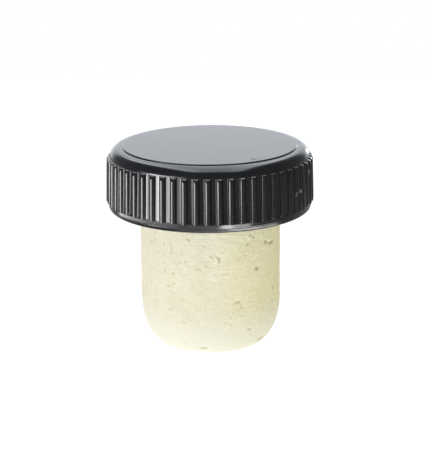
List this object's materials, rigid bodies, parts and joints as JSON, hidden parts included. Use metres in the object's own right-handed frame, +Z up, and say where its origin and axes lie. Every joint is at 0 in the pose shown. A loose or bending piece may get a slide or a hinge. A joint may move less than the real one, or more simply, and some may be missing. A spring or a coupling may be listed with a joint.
{
  "type": "cork stopper",
  "caption": "Bar-top bottle stopper: a straight cork shank with a rounded lower end, glued into a low ribbed plastic cap that is gripped to pull it.",
  "frame": {"origin": "centre of the cork's flat lower end, on which the stopper stands", "axes": "+Z up along the stopper's axis, from the cork to the cap; one rib faces -Y"},
  "size_m": [0.0288, 0.0288, 0.0281],
  "materials": {
    "cap": "satin",
    "cork": "matte"
  },
  "bodies": {
    "root": {"cap": "cap", "cork": "cork"}
  },
  "joints": []
}
